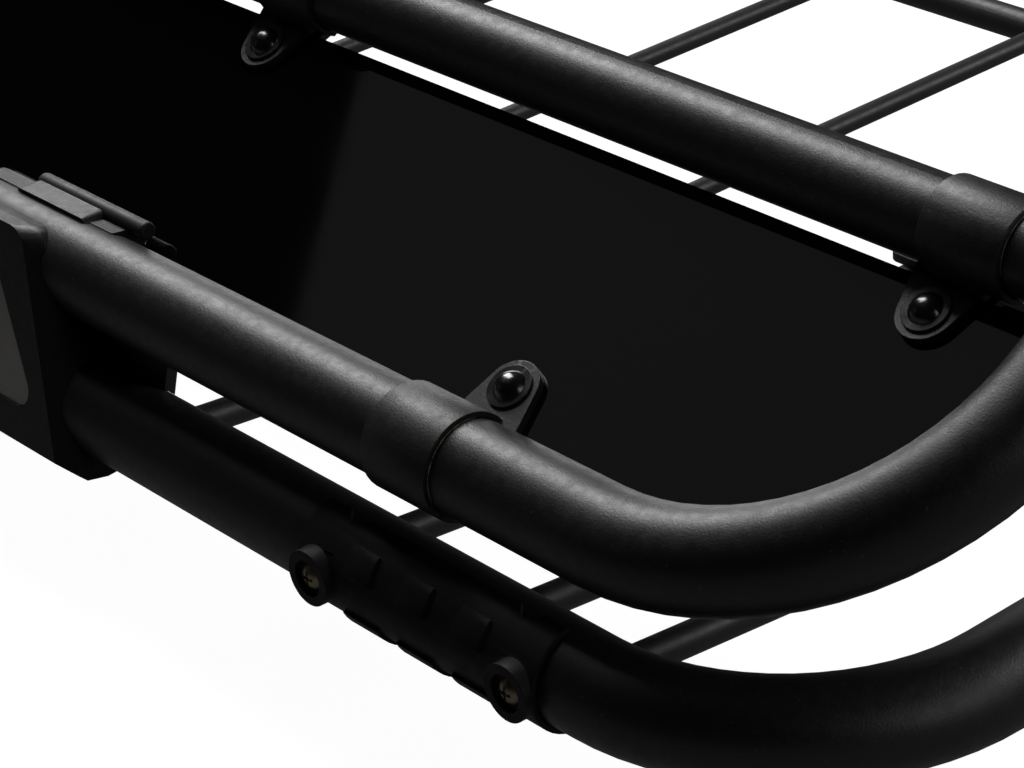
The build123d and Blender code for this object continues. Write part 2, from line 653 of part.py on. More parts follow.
def cover_plate(x):
    inner = RAIL_D / 2 + COVER_GAP
    outer = inner + COVER_T
    boss_h = outer + COVER_BOSS_H
    plate = sector(inner, outer, COVER_LOW_ANGLE, COVER_TOP_ANGLE, x - COVER_HALF_L, x + COVER_HALF_L)
    cutter = Rot(0, 0, 45) * Box(COVER_HALF_L, COVER_HALF_L, RAIL_D)
    reach = (COVER_CORNER_CUT / 2 ** 0.5 + COVER_HALF_L / 2) / 2 ** 0.5
    for side in (-1, 1):
        plate = plate - radial_place(x, COVER_CORNER_ANGLE) * Pos(side * reach, reach, RAIL_D * 0.8) * cutter
    for k in (-1, 0, 1):
        for low, high, width in COVER_PADS:
            centre = x + k * COVER_PAD_DX
            pad = sector(inner, outer + COVER_PAD_PROUD, low, high, centre - width / 2, centre + width / 2)
            plate = plate + pad
    for dx in (-COVER_SCREW_DX, COVER_SCREW_DX):
        place = radial_place(x + dx, COVER_SCREW_ANGLE)
        plate = plate + place * Pos(0, 0, boss_h / 2) * Cylinder(COVER_BOSS_D / 2, boss_h)
    plate = plate - Pos(x, LOWER_NOSE_Y, FLOOR_Z) * Rot(0, 90, 0) * Cylinder(inner, 4 * COVER_HALF_L)
    for dx in (-COVER_SCREW_DX, COVER_SCREW_DX):
        place = radial_place(x + dx, COVER_SCREW_ANGLE)
        plate = plate - place * Pos(0, 0, RAIL_D) * Cylinder((COVER_SCREW_D + HOLE_CLEARANCE) / 2, 2 * RAIL_D)
        plate = plate - place * Pos(0, 0, boss_h) * Cylinder(COVER_CUP_D / 2, 2 * COVER_CUP_DEPTH)
    return max(plate.solids(), key=lambda solid: solid.volume)


def cover_screw(x):
    seat = RAIL_D / 2 + COVER_GAP + COVER_T + COVER_BOSS_H - COVER_CUP_DEPTH
    head = dome_head(COVER_HEAD_D, COVER_HEAD_H)
    recess = Pos(0, 0, COVER_HEAD_H) * (Box(5.6, 1.3, 2.4) + Box(1.3, 5.6, 2.4))
    shank = Pos(0, 0, -8) * Cylinder(COVER_SCREW_D / 2, 16)
    return radial_place(x, COVER_SCREW_ANGLE) * Pos(0, 0, seat) * (head - recess + shank)


cover_plates = [cover_plate(x) for x in COVER_X]
cover_screw_x = [x + dx for x in COVER_X for dx in (-COVER_SCREW_DX, COVER_SCREW_DX)]
cover_screws = [cover_screw(x) for x in cover_screw_x]

# ---- crossbar clamps ---------------------------------------------------------------------------
rod_low_z = FLOOR_Z - ROD_D / 2
rod_high_z = FLOOR_Z + ROD_D / 2
saddle_low_z = rod_low_z - SADDLE_T + 3.0
mount_places = [(sx * MOUNT_X, sy * MOUNT_Y) for sx in (-1, 1) for sy in (-1, 1)]
knob_base_z = rod_high_z + GRIP_PLATE_T + MOUNT_WASHER_T


def stud_holes(x, y, diameter):
    tall = Cylinder(diameter / 2, 4 * FLOOR_Z)
    return [Pos(x, y + dy, FLOOR_Z) * tall for dy in (-STUD_DY, STUD_DY)]


def saddle(x, y):
    """Cast seat below two floor rods, with grooves for the rods."""
    middle_z = saddle_low_z + SADDLE_T / 2
    body = Pos(x, y, middle_z) * Box(SADDLE_SPINE_W, 2 * SADDLE_HALF_Y, SADDLE_T)
    for dy in (-STUD_DY, STUD_DY):
        body = body + Pos(x, y + dy, middle_z) * Box(2 * SADDLE_HALF_X, SADDLE_BAR_W, SADDLE_T)
    body = body - [drill for drill in rod_drills]
    return body - stud_holes(x, y, STUD_HOLE_D)


def claw(x, y):
    """U-shaped jaw that passes below the vehicle's crossbar."""
    leg_h = saddle_low_z - CLAW_LEG_GAP
    body = Pos(x, y, leg_h / 2) * Box(CLAW_W, 2 * SADDLE_HALF_Y, leg_h)
    opening = Pos(x, y, CLAW_T + FLOOR_Z) * Box(2 * CLAW_W, 2 * (SADDLE_HALF_Y - CLAW_LEG_W), 2 * FLOOR_Z)
    body = body - opening
    for dy in (-STUD_DY, STUD_DY):
        body = body - Pos(x, y + dy, 0) * Cylinder((STUD_HEAD_D + 1.0) / 2, 2 * (STUD_HEAD_H + 1.5))
    return body - stud_holes(x, y, STUD_HOLE_D)


def rubber_pad(x, y, low_z, width):
    return Pos(x, y, low_z + PAD_T / 2) * Box(width, 2 * PAD_HALF_Y, PAD_T)


def grip_plate(x, y):
    """Steel bar that lies across two floor rods and carries a stud."""
    plate = Pos(x, y, rod_high_z + GRIP_PLATE_T / 2) * Box(2 * SADDLE_HALF_X, GRIP_PLATE_W, GRIP_PLATE_T)
    plate = fillet(plate.edges().filter_by(Axis.Z), 6.0)
    return plate - Pos(x, y, rod_high_z) * Cylinder(STUD_HOLE_D / 2, 4 * GRIP_PLATE_T)


def stud(x, y, top_z):
    head_z = 1.5
    head = Pos(x, y, head_z + STUD_HEAD_H / 2) * Cylinder(STUD_HEAD_D / 2, STUD_HEAD_H)
    shank = Pos(x, y, (head_z + top_z) / 2) * Cylinder(STUD_D / 2, top_z - head_z)
    return head + shank


def knob(x, y):
    """Star knob with a blind threaded bore, its base at the washer."""
    body = Pos(0, 0, KNOB_H / 2) * Cylinder(KNOB_D / 2, KNOB_H)
    for k in range(KNOB_LOBES):
        cut = Rot(0, 0, k * 360 / KNOB_LOBES) * Pos(KNOB_D / 2 + 2.0, 0, KNOB_H / 2)
        body = body - cut * Cylinder(KNOB_LOBE_CUT_D / 2, 2 * KNOB_H)
    body = fillet(body.faces().sort_by(Axis.Z)[-1].edges(), 2.0)
    body = body - Cylinder(STUD_D / 2 + 0.05, 2 * (KNOB_H - 4.0))
    return Pos(x, y, knob_base_z + KNOB_LIFT) * body


saddles = [saddle(x, y) for x, y in mount_places]
claws = [claw(x, y) for x, y in mount_places]
saddle_pads = [rubber_pad(x, y, saddle_low_z - PAD_T, SADDLE_SPINE_W) for x, y in mount_places]
claw_pads = [rubber_pad(x, y, CLAW_T, CLAW_W) for x, y in mount_places]
grip_plates = [grip_plate(x, y + dy) for x, y in mount_places for dy in (-STUD_DY, STUD_DY)]
mount_ring = Cylinder(MOUNT_WASHER_D / 2, MOUNT_WASHER_T) - Cylinder(STUD_HOLE_D / 2, 2 * MOUNT_WASHER_T)
mount_washers = [
    Pos(x, y + dy, rod_high_z + GRIP_PLATE_T + MOUNT_WASHER_T / 2) * mount_ring
    for x, y in mount_places
    for dy in (-STUD_DY, STUD_DY)
]


def knob_side(y):
    """Each clamp's knob is on the side towards the middle of the basket."""
    return y - STUD_DY if y > 0 else y + STUD_DY


def nut_side(y):
    return y + STUD_DY if y > 0 else y - STUD_DY


knob_studs = [stud(x, knob_side(y), knob_base_z + KNOB_H - 5.0) for x, y in mount_places]
nut_studs = [stud(x, nut_side(y), knob_base_z + MOUNT_NUT_H + 3.0) for x, y in mount_places]
mount_nuts = [
    Pos(x, nut_side(y), knob_base_z) * (hex_prism(MOUNT_NUT_AF, MOUNT_NUT_H) - Cylinder(STUD_D / 2, 4 * MOUNT_NUT_H))
    for x, y in mount_places
]
KNOB_NAMES = ["knob_left_front", "knob_left_rear", "knob_right_front", "knob_right_rear"]

# ---- write every node --------------------------------------------------------------------------
lower_nose_rail = pipe_along(lower_nose_path, RAIL_D, RAIL_WALL)
lower_rear_rail = pipe_along(lower_rear_path, RAIL_D, RAIL_WALL)
upper_nose_hoop = pipe_along(hoop_path, RAIL_D, RAIL_WALL)
upper_rear_rail = pipe_along(rear_path, RAIL_D, RAIL_WALL)
lower_sides = [side_rail(LOWER_HALF_X, FLOOR_Z), side_rail(-LOWER_HALF_X, FLOOR_Z)]
upper_sides = [side_rail(UPPER_HALF_X, TOP_Z), side_rail(-UPPER_HALF_X, TOP_Z)]

cover_drills = [
    radial_place(x, COVER_SCREW_ANGLE) * Pos(0, 0, RAIL_D / 2) * Cylinder((COVER_SCREW_D + HOLE_CLEARANCE) / 2, 12)
    for x in cover_screw_x
]
lower_nose_rail = lower_nose_rail - cover_drills - splice_holes
lower_rear_rail = lower_rear_rail - splice_holes
upper_nose_hoop = upper_nose_hoop - splice_holes
upper_rear_rail = upper_rear_rail - splice_holes
lower_sides = [rail - splice_holes for rail in lower_sides]
upper_sides = [rail - splice_holes for rail in upper_sides]

save("lower_nose_rail", lower_nose_rail)
save("lower_side_rails", *lower_sides)
save("lower_rear_rail", lower_rear_rail)
save("upper_nose_hoop", upper_nose_hoop)
save("upper_side_rails", *upper_sides)
save("upper_rear_rail", upper_rear_rail)
save("splice_sleeves", *splice_sleeves)
save("splice_screws", *splice_screws)
save("side_posts", *side_posts)
save("rear_posts", *rear_posts)
save("floor_rods", *rods)
save("floor_cross_tubes", *cross_tubes)
save("front_floor_tube", front_cross_tube)
save("front_struts", *struts)
save("top_front_tube", top_tube)
save("fairing_panel", fairing_panel())
save("nose_clamp_uppers", *both_sides([place * nose_upper for place in nose_places]))
save("nose_clamp_lowers", *both_sides([place * nose_lower for place in nose_places]))
save("top_clamp_uppers", *both_sides([place * top_upper for place in top_places]))
save("top_clamp_lowers", *both_sides([place * top_lower for place in top_places]))
save("fairing_bolts", *fairing_bolts)
save("fairing_washers", *fairing_washers)
save("fairing_nuts", *fairing_nuts)
save("nameplate_carrier", nameplate_carrier())
save("nameplate", nameplate())
save("nameplate_strap", nameplate_strap())
save("strap_pins", *both_sides([strap_pin(HOOK_X)]))
save("strap_bolts", *[strap_bolt(x) for x in strap_bolt_x])
save("cover_plates", *cover_plates)
save("cover_screws", *cover_screws)
save("mount_saddles", *saddles)
save("mount_claws", *claws)
save("saddle_pads", *saddle_pads)
save("claw_pads", *claw_pads)
save("grip_plates", *grip_plates)
save("mount_washers", *mount_washers)
save("knob_studs", *knob_studs)
save("nut_studs", *nut_studs)
save("mount_nuts", *mount_nuts)
for name, (x, y) in zip(KNOB_NAMES, mount_places):
    save(name, knob(x, knob_side(y)))
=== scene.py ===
import json
import math
import random

import bpy
from mathutils import Matrix, Vector


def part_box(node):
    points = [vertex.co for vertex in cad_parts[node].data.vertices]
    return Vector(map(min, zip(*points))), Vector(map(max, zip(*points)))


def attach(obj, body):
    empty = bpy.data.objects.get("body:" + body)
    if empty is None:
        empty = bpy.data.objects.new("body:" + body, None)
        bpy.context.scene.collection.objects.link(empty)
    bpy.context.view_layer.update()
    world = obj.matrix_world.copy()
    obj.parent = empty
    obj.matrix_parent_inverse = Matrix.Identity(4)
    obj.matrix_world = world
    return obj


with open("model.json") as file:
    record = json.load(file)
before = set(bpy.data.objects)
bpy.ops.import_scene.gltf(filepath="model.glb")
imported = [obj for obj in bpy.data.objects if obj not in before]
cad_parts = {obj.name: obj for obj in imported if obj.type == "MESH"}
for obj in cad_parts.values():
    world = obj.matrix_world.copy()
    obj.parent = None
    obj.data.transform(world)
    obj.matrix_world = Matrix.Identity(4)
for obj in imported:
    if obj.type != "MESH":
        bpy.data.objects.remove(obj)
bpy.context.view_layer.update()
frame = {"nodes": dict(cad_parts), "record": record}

MM = 0.001

# ---- camera: a long lens looking down on the nose's right-hand corner --------------------------
CAMERA_AT = Vector((1.2614, -1.3105, 0.7022))
CAMERA_RIGHT = Vector((0.6511, 0.7551, -0.0767))
CAMERA_DOWN = Vector((0.3141, -0.3601, -0.8785))
CAMERA_LENS = 116.0

# ---- stage and lights -------------------------------------------------------------------------
# name, place, aimed at, width, height, watts
LIGHTS = (
    ("softbox", (-1.20, 0.00, 1.98), (0.45, -0.60, 0.12), 0.92, 2.1, 56.0),
    ("panel_card", (-0.70, -1.05, 2.0), (-0.70, -1.05, 0.0), 2.2, 1.2, 0.52),
    ("front_fill", (-1.4, -2.3, 0.75), (0.3, -0.7, 0.1), 1.0, 0.9, 0.12),
    ("rear_rim", (1.9, 2.1, 1.5), (0.0, 0.0, 0.1), 2.0, 0.7, 32.0),
    ("right_fill", (2.9, -0.2, 1.1), (0.6, -0.5, 0.1), 1.6, 1.4, 8.0),
    ("floor_bounce", (0.0, 0.0, 0.0015), (0.0, 0.0, 1.0), 3.4, 3.4, 3.6),
)
ROOM_TINT = (0.93, 0.96, 1.0, 1)
ROOM_GLOW = 0.004
FLOOR_SIZE = 60
FLOOR_GLOW = 0.97
FLOOR_GREY = 0.12           # share of plain diffuse, so that the floor still takes shadows
BACKDROP_RADIUS = 28

# ---- sizes that the pieces added here share ----------------------------------------------------
CLAMP_WIDTH = 36.0 * MM
POST_R = 9.525 * MM
WELD_SMALL = 1.3 * MM
WELD_LARGE = 2.0 * MM
RING_STEPS = 44
RING_SIDES = 7

WELD_PITCH_COARSE = 3.2 * MM
WELD_PITCH_CROSS = 3.0 * MM
WELD_PITCH_STRUT = 2.6 * MM
WELD_PITCH_FINE = 2.4 * MM
DUST_LINE = 0.28 * MM
DUST_INSET = 0.25 * MM      # the line lies just inside the edge that it marks
DUST_LIFT = 0.2 * MM
DUST_STEPS = 40
NOSE_TILT = math.radians(32)
HOOP_DIR = Vector((0, math.cos(NOSE_TILT), math.sin(NOSE_TILT)))
ALONG_X = Vector((1, 0, 0))
ALONG_Y = Vector((0, 1, 0))

# side edge of the nameplate carrier: half width at a height, and how fast it narrows upwards
CARRIER_LOW_X = 229.6 * MM
CARRIER_LOW_Z = 58.0 * MM
CARRIER_TAPER = 0.47

NODES = frame["nodes"]


# ---- reading the CAD ---------------------------------------------------------------------------
def node_box(name):
    low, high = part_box(name)
    return Vector(low), Vector(high)


def solids(name):
    """Box of every separate solid in a CAD node, as (low, high) pairs."""
    mesh = NODES[name].data
    keys = {}
    index = []
    for vertex in mesh.vertices:
        spot = tuple(round(c, 6) for c in vertex.co)
        index.append(keys.setdefault(spot, len(keys)))
    parent = list(range(len(keys)))

    def root(i):
        while parent[i] != i:
            parent[i] = parent[parent[i]]
            i = parent[i]
        return i

    for edge in mesh.edges:
        a, b = (root(index[v]) for v in edge.vertices)
        parent[a] = b
    boxes = {}
    for spot, i in keys.items():
        key = root(i)
        low, high = boxes.get(key, (spot, spot))
        boxes[key] = (tuple(map(min, low, spot)), tuple(map(max, high, spot)))
    return sorted((Vector(low), Vector(high)) for low, high in boxes.values())


lower_low, lower_high = node_box("lower_side_rails")
upper_low, upper_high = node_box("upper_side_rails")
RAIL_R = (lower_high.z - lower_low.z) / 2
FLOOR_Z = lower_low.z + RAIL_R
TOP_Z = upper_low.z + RAIL_R
hoop_low, hoop_high = node_box("upper_nose_hoop")
nose_low, nose_high = node_box("lower_nose_rail")
LOWER_X = nose_high.x - RAIL_R
UPPER_X = hoop_high.x - RAIL_R
LOWER_NOSE_Y = nose_low.y + RAIL_R
UPPER_NOSE_Y = hoop_low.y + RAIL_R
NOSE_Z = hoop_low.z + RAIL_R
LOWER_REAR_Y = node_box("lower_rear_rail")[1].y - RAIL_R
UPPER_REAR_Y = node_box("upper_rear_rail")[1].y - RAIL_R


# ---- camera, floor and light -------------------------------------------------------------------
def add_camera():
    data = bpy.data.cameras.new("camera")
    data.lens = CAMERA_LENS
    data.sensor_width = 36.0
    data.clip_start = 0.05
    camera = bpy.data.objects.new("camera", data)
    right = CAMERA_RIGHT.normalized()
    up = (-CAMERA_DOWN - right * right.dot(-CAMERA_DOWN)).normalized()
    back = right.cross(up)
    turn = Matrix((right, up, back)).transposed()
    camera.matrix_world = Matrix.Translation(CAMERA_AT) @ turn.to_4x4()
    bpy.context.scene.collection.objects.link(camera)
    bpy.context.scene.camera = camera


def area_light(name, at, towards, size_x, size_y, watts):
    data = bpy.data.lights.new(name, "AREA")
    data.shape = "RECTANGLE"
    data.size = size_x
    data.size_y = size_y
    data.energy = watts
    light = bpy.data.objects.new(name, data)
    light.location = at
    light.rotation_euler = (Vector(towards) - Vector(at)).to_track_quat("-Z", "Y").to_euler()
    light.visible_camera = False
    bpy.context.scene.collection.objects.link(light)


def glow_material(name, colour, strength, grey):
    """Mostly self-lit, with a share of plain diffuse so that shadows still show."""
    material = bpy.data.materials.new(name)
    material.use_nodes = True
    nodes = material.node_tree.nodes
    nodes.clear()
    glow = nodes.new("ShaderNodeEmission")
    glow.inputs["Color"].default_value = (*colour, 1)
    glow.inputs["Strength"].default_value = strength
    matt = nodes.new("ShaderNodeBsdfDiffuse")
    matt.inputs["Color"].default_value = (grey, grey, grey, 1)
    total = nodes.new("ShaderNodeAddShader")
    out = nodes.new("ShaderNodeOutputMaterial")
    links = material.node_tree.links
    links.new(glow.outputs[0], total.inputs[0])
    links.new(matt.outputs[0], total.inputs[1])
    links.new(total.outputs[0], out.inputs["Surface"])
    return material


def add_stage():
    bpy.ops.mesh.primitive_plane_add(size=FLOOR_SIZE)
    floor = bpy.context.object
    floor.name = "floor"
    floor.data.materials.append(glow_material("floor_white", (1.0, 1.0, 1.0), FLOOR_GLOW, FLOOR_GREY))
    floor.visible_glossy = False
    floor.visible_diffuse = False
    bpy.ops.mesh.primitive_uv_sphere_add(radius=BACKDROP_RADIUS, segments=48, ring_count=24)
    dome = bpy.context.object
    dome.name = "backdrop"
    dome.data.materials.append(glow_material("backdrop_white", (1.0, 1.0, 1.0), 1.0, 0.0))
    for ray in ("visible_glossy", "visible_diffuse", "visible_shadow", "visible_transmission"):
        setattr(dome, ray, False)


def add_lights():
    for light in LIGHTS:
        area_light(*light)
    world = bpy.data.worlds.new("room")
    world.use_nodes = True
    backdrop = world.node_tree.nodes["Background"]
    backdrop.inputs["Color"].default_value = ROOM_TINT
    backdrop.inputs["Strength"].default_value = ROOM_GLOW
    bpy.context.scene.world = world
    bpy.context.scene.view_settings.view_transform = "Standard"


# ---- materials ---------------------------------------------------------------------------------
class Surface:
    """A procedural material under construction: a Principled shader and its texture nodes."""

    def __init__(self, name, **sockets):
        self.material = bpy.data.materials.new(name)
        self.material.use_nodes = True
        self.tree = self.material.node_tree
        self.shader = self.tree.nodes["Principled BSDF"]
        self.place = self.tree.nodes.new("ShaderNodeTexCoord")
        self.bump = None
        for key, value in sockets.items():
            self.shader.inputs[key.replace("_", " ")].default_value = value

    def node(self, kind, **inputs):
        made = self.tree.nodes.new(kind)
        for key, value in inputs.items():
            made.inputs[key].default_value = value
        return made

    def link(self, source, target):
        self.tree.links.new(source, target)

    def mapping(self, stretch):
        mapped = self.node("ShaderNodeMapping", Scale=stretch)
        self.link(self.place.outputs["Object"], mapped.inputs["Vector"])
        return mapped.outputs["Vector"]

    def noise(self, scale, detail=3.0, rough=0.55, stretch=(1, 1, 1)):
        made = self.node("ShaderNodeTexNoise", Scale=scale, Detail=detail, Roughness=rough)
        self.link(self.mapping(stretch), made.inputs["Vector"])
        return made.outputs["Fac"]

    def span(self, value, from_low, from_high, low, high):
        made = self.tree.nodes.new("ShaderNodeMapRange")
        limits = {"From Min": from_low, "From Max": from_high, "To Min": low, "To Max": high}
        for key, number in limits.items():
            made.inputs[key].default_value = number
        self.link(value, made.inputs["Value"])
        return made.outputs["Result"]

    def colours(self, value, stops):
        """Colour ramp from (position, colour) pairs."""
        ramp = self.tree.nodes.new("ShaderNodeValToRGB")
        elements = ramp.color_ramp.elements
        elements[0].position, elements[0].color = stops[0][0], (*stops[0][1], 1)
        elements[1].position, elements[1].color = stops[-1][0], (*stops[-1][1], 1)
        for position, colour in stops[1:-1]:
            elements.new(position).color = (*colour, 1)
        self.link(value, ramp.inputs["Fac"])
        return ramp.outputs["Color"]

    def mix(self, factor, first, second):
        """Blend two colours, each an output or a plain colour."""
        made = self.tree.nodes.new("ShaderNodeMix")
        made.data_type = "RGBA"
        self.link(factor, made.inputs["Factor"])
        for socket, colour in ((made.inputs[6], first), (made.inputs[7], second)):
            if isinstance(colour, tuple):
                socket.default_value = (*colour, 1)
            else:
                self.link(colour, socket)
        return made.outputs[2]

    def relief(self, height, distance, strength=1.0):
        """Stack a bump on the ones before it."""
        made = self.node("ShaderNodeBump", Strength=strength, Distance=distance)
        self.link(height, made.inputs["Height"])
        if self.bump is not None:
            self.link(self.bump.outputs["Normal"], made.inputs["Normal"])
        self.bump = made

    def done(self):
        if self.bump is not None:
            self.link(self.bump.outputs["Normal"], self.shader.inputs["Normal"])
        return self.material


def powder_coat(name, dark, light, rough, grain=0.09, grain_scale=1150.0, dust=(0.20, 0.185, 0.165)):
    """Baked powder: a fine pebbled grain, slow changes of tone, and a few light dust specks scattered by
    noise.
    """
    made = Surface(name, Specular_IOR_Level=0.5)
    slow = made.noise(7.0, 4.0)
    fine = made.noise(grain_scale, 2.0, 0.6)
    mid = made.noise(260.0, 3.0)
    base = made.colours(slow, [(0.32, dark), (0.68, light)])
    specks = made.span(made.noise(640.0, 1.0), 0.70, 0.78, 0.0, 0.18)
    made.link(made.mix(specks, base, dust), made.shader.inputs["Base Color"])
    made.link(made.span(mid, 0.3, 0.7, rough - 0.05, rough + 0.06), made.shader.inputs["Roughness"])
    made.relief(slow, 0.15 * MM, 0.4)
    made.relief(mid, 0.05 * MM, 0.5)
    made.relief(fine, grain * MM)
    return made.done()


def gloss_sheet(name):
    """Black acrylic: near-mirror gloss with faint smears and a few fine hairline scratches."""
    made = Surface(name, Base_Color=(0.0010, 0.0010, 0.0011, 1), Specular_IOR_Level=1.0)
    smear = made.noise(9.0, 5.0, 0.6, (1.0, 2.4, 2.4))
    made.link(made.span(smear, 0.35, 0.7, 0.035, 0.06), made.shader.inputs["Roughness"])
    made.relief(made.noise(3.5, 2.0), 0.35 * MM, 0.25)
    made.relief(made.noise(900.0, 1.0, 0.5, (0.06, 1.0, 1.0)), 0.002 * MM, 0.3)
    return made.done()


def brushed_plate(name):
    """Light grey aluminium with a fine cross-hatched brushing."""
    made = Surface(name, Metallic=0.25)
    along = made.noise(1500.0, 2.0, 0.6, (0.10, 1.0, 1.0))
    across = made.noise(1500.0, 2.0, 0.6, (1.0, 0.12, 0.12))
    slow = made.noise(16.0, 4.0)
    tone = made.colours(slow, [(0.3, (0.34, 0.33, 0.31)), (0.7, (0.44, 0.43, 0.405))])
    brushed = made.mix(made.span(along, 0.35, 0.65, 0.0, 0.4), tone, (0.31, 0.30, 0.28))
    made.link(brushed, made.shader.inputs["Base Color"])
    made.link(made.span(across, 0.3, 0.7, 0.42, 0.6), made.shader.inputs["Roughness"])
    made.relief(along, 0.05 * MM)
    made.relief(across, 0.05 * MM)
    return made.done()


def moulded(name, dark, light, rough, grain=0.03, gloss=0.5):
    """Moulded plastic with a slight spark-eroded texture."""
    made = Surface(name, Specular_IOR_Level=gloss)
    tone = made.colours(made.noise(14.0, 4.0), [(0.3, dark), (0.7, light)])
    made.link(tone, made.shader.inputs["Base Color"])
    finish = made.span(made.noise(120.0, 3.0), 0.3, 0.7, rough - 0.06, rough + 0.08)
    made.link(finish, made.shader.inputs["Roughness"])
    made.relief(made.noise(1600.0, 2.0), grain * MM)
    made.relief(made.noise(60.0, 2.0), 0.06 * MM, 0.4)
    return made.done()


def plated(name, threaded, dark=(0.36, 0.35, 0.33), light=(0.55, 0.54, 0.52)):
    """Metal plating, with thread crests where the part is a stud."""
    made = Surface(name, Metallic=0.9)
    slow = made.noise(45.0, 4.0)
    made.link(made.colours(slow, [(0.3, dark), (0.7, light)]), made.shader.inputs["Base Color"])
    made.link(made.span(made.noise(300.0), 0.3, 0.7, 0.28, 0.46), made.shader.inputs["Roughness"])
    made.relief(slow, 0.02 * MM)
    if threaded:
        wave = made.node("ShaderNodeTexWave", Scale=250.0)
        wave.bands_direction = "Z"
        made.link(made.place.outputs["Object"], wave.inputs["Vector"])
        made.relief(wave.outputs["Fac"], 0.5 * MM)
    return made.done()


def dusty_line(name):
    """Dried dust and bare primer along an edge."""
    made = Surface(name, Roughness=0.8)
    tone = made.colours(
        made.noise(190.0, 3.0),
        [(0.36, (0.02, 0.019, 0.018)), (0.5, (0.22, 0.17, 0.12)), (0.7, (0.50, 0.40, 0.30))],
    )
    made.link(tone, made.shader.inputs["Base Color"])
    made.relief(made.noise(2200.0), 0.1 * MM)
    return made.done()


def rubber(name):
    made = Surface(name)
    made.link(
        made.colours(made.noise(30.0, 4.0), [(0.3, (0.016, 0.016, 0.016)), (0.7, (0.034, 0.033, 0.032))]),
        made.shader.inputs["Base Color"],
    )
    made.link(made.span(made.noise(200.0), 0.3, 0.7, 0.72, 0.9), made.shader.inputs["Roughness"])
    made.relief(made.noise(700.0), 0.08 * MM)
    return made.done()


SLOT_MATERIALS = {
    "rail_black": powder_coat("rail_black", (0.0075, 0.0075, 0.008), (0.012, 0.012, 0.013), 0.43),
    "rod_black": powder_coat("rod_black", (0.017, 0.017, 0.018), (0.026, 0.026, 0.028), 0.46),
    "bracket_black": powder_coat(
        "bracket_black", (0.0075, 0.0075, 0.0075), (0.012, 0.012, 0.012), 0.48, 0.11, 900.0
    ),
    "clamp_black": powder_coat(
        "clamp_black", (0.010, 0.010, 0.0105), (0.016, 0.016, 0.017), 0.46, 0.10, 1000.0
    ),
    "fairing_black": gloss_sheet("fairing_black"),
    "plaque_grey": brushed_plate("plaque_grey"),
    "cover_black": moulded("cover_black", (0.006, 0.006, 0.0058), (0.0095, 0.0095, 0.009), 0.55, 0.03, 0.22),
    "screw_black": moulded("screw_black", (0.009, 0.009, 0.010), (0.017, 0.017, 0.018), 0.24, 0.012),
    "dome_black": moulded("dome_black", (0.006, 0.006, 0.007), (0.011, 0.011, 0.012), 0.20, 0.006, 1.0),
    "zinc_steel": plated("zinc_steel", False),
    "pad_rubber": rubber("pad_rubber"),
    "knob_plastic": moulded("knob_plastic", (0.014, 0.014, 0.015), (0.023, 0.023, 0.024), 0.48, 0.06),
}
DUST = dusty_line("edge_dust")
THREAD = plated("zinc_thread", True)
BRASSY = plated("aged_zinc", False, (0.20, 0.165, 0.11), (0.34, 0.29, 0.20))
PIN = moulded("pin_black", (0.007, 0.007, 0.007), (0.012, 0.012, 0.012), 0.55)
BEVELS = {
    "nameplate_carrier": 1.2,
    "nameplate_strap": 1.0,
    "nameplate": 0.4,
    "nose_clamp_uppers": 0.3,
    "nose_clamp_lowers": 0.3,
    "top_clamp_uppers": 0.3,
    "top_clamp_lowers": 0.3,
    "cover_plates": 0.35,
    "mount_saddles": 1.2,
    "mount_claws": 1.5,
    "grip_plates": 0.6,
    "mount_nuts": 0.5,
    "fairing_nuts": 0.4,
    "fairing_washers": 0.25,
    "strap_bolts": 0.4,
}


def dress_nodes():
    for part in frame["record"]["subparts"]:
        node = NODES[part["node"]]
        node.data.materials.clear()
        node.data.materials.append(SLOT_MATERIALS[part["material_slot"]])
    for name in ("knob_studs", "nut_studs"):
        NODES[name].data.materials[0] = THREAD
    NODES["strap_pins"].data.materials[0] = PIN
    NODES["cover_screws"].data.materials[0] = BRASSY
    for name, width in BEVELS.items():
        weld = NODES[name].modifiers.new("weld", "WELD")
        weld.merge_threshold = 0.002 * MM
        bevel = NODES[name].modifiers.new("bevel", "BEVEL")
        bevel.width = width * MM
        bevel.segments = 3
        bevel.limit_method = "ANGLE"
        bevel.angle_limit = math.radians(35)
        bevel.harden_normals = True


# ---- pieces added round the CAD ----------------------------------------------------------------
class Shell:
    """Collects the vertices and faces of one added piece."""

    def __init__(self, name):
        self.name = name
        self.vertices = []
        self.faces = []

    def sweep(self, points, normals, radii, closed):
        """A round bead along points; normals fix its cross section."""
        first = len(self.vertices)
        count = len(points)
        for i, (point, normal, radius) in enumerate(zip(points, normals, radii)):
            before = points[(i - 1) % count] if closed or i else point
            after = points[(i + 1) % count] if closed or i + 1 < count else point
            side = (after - before).cross(normal).normalized()
            for k in range(RING_SIDES):
                angle = 2 * math.pi * k / RING_SIDES
                self.vertices.append(point + (normal * math.cos(angle) + side * math.sin(angle)) * radius)
        for i in range(count if closed else count - 1):
            for k in range(RING_SIDES):
                a = first + i * RING_SIDES + k
                b = first + i * RING_SIDES + (k + 1) % RING_SIDES
                c = first + (i + 1) % count * RING_SIDES + (k + 1) % RING_SIDES
                d = first + (i + 1) % count * RING_SIDES + k
                self.faces.append((a, d, c, b))

    def finish(self, material, slot=None):
        mesh = bpy.data.meshes.new(self.name)
        mesh.from_pydata(self.vertices, [], self.faces)
        mesh.polygons.foreach_set("use_smooth", [True] * len(mesh.polygons))
        mesh.materials.append(material)
        piece = bpy.data.objects.new(self.name, mesh)
        bpy.context.scene.collection.objects.link(piece)
        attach(piece, "basket")


